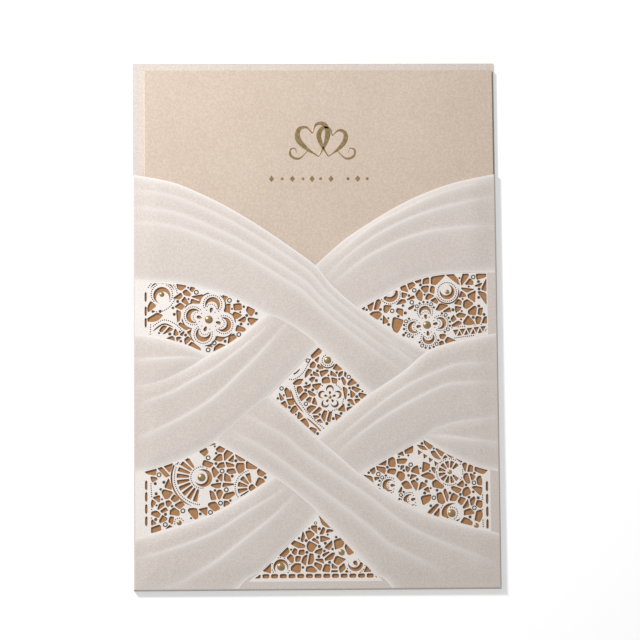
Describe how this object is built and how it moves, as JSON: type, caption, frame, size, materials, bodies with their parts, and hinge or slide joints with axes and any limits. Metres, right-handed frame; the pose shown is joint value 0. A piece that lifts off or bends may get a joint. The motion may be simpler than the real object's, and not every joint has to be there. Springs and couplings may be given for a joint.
{
  "type": "wedding invitation",
  "caption": "Laser cut card pocket with crossing embossed drapes and lace windows, holding a folded invitation card.",
  "frame": {"origin": "underside of the back panel, at the middle of the page", "axes": "+X across the page to the right, +Y up the page to the mouth's side, +Z out of the page's face"},
  "size_m": [0.127, 0.185, 0.0028],
  "materials": {
    "pearl_ivory_card": "pearl coated ivory card, soft sheen",
    "champagne_pearl_card": "pearl coated champagne card, soft sheen"
  },
  "bodies": {
    "root": {"pocket": "pearl_ivory_card", "invitation_card": "champagne_pearl_card"}
  },
  "joints": []
}
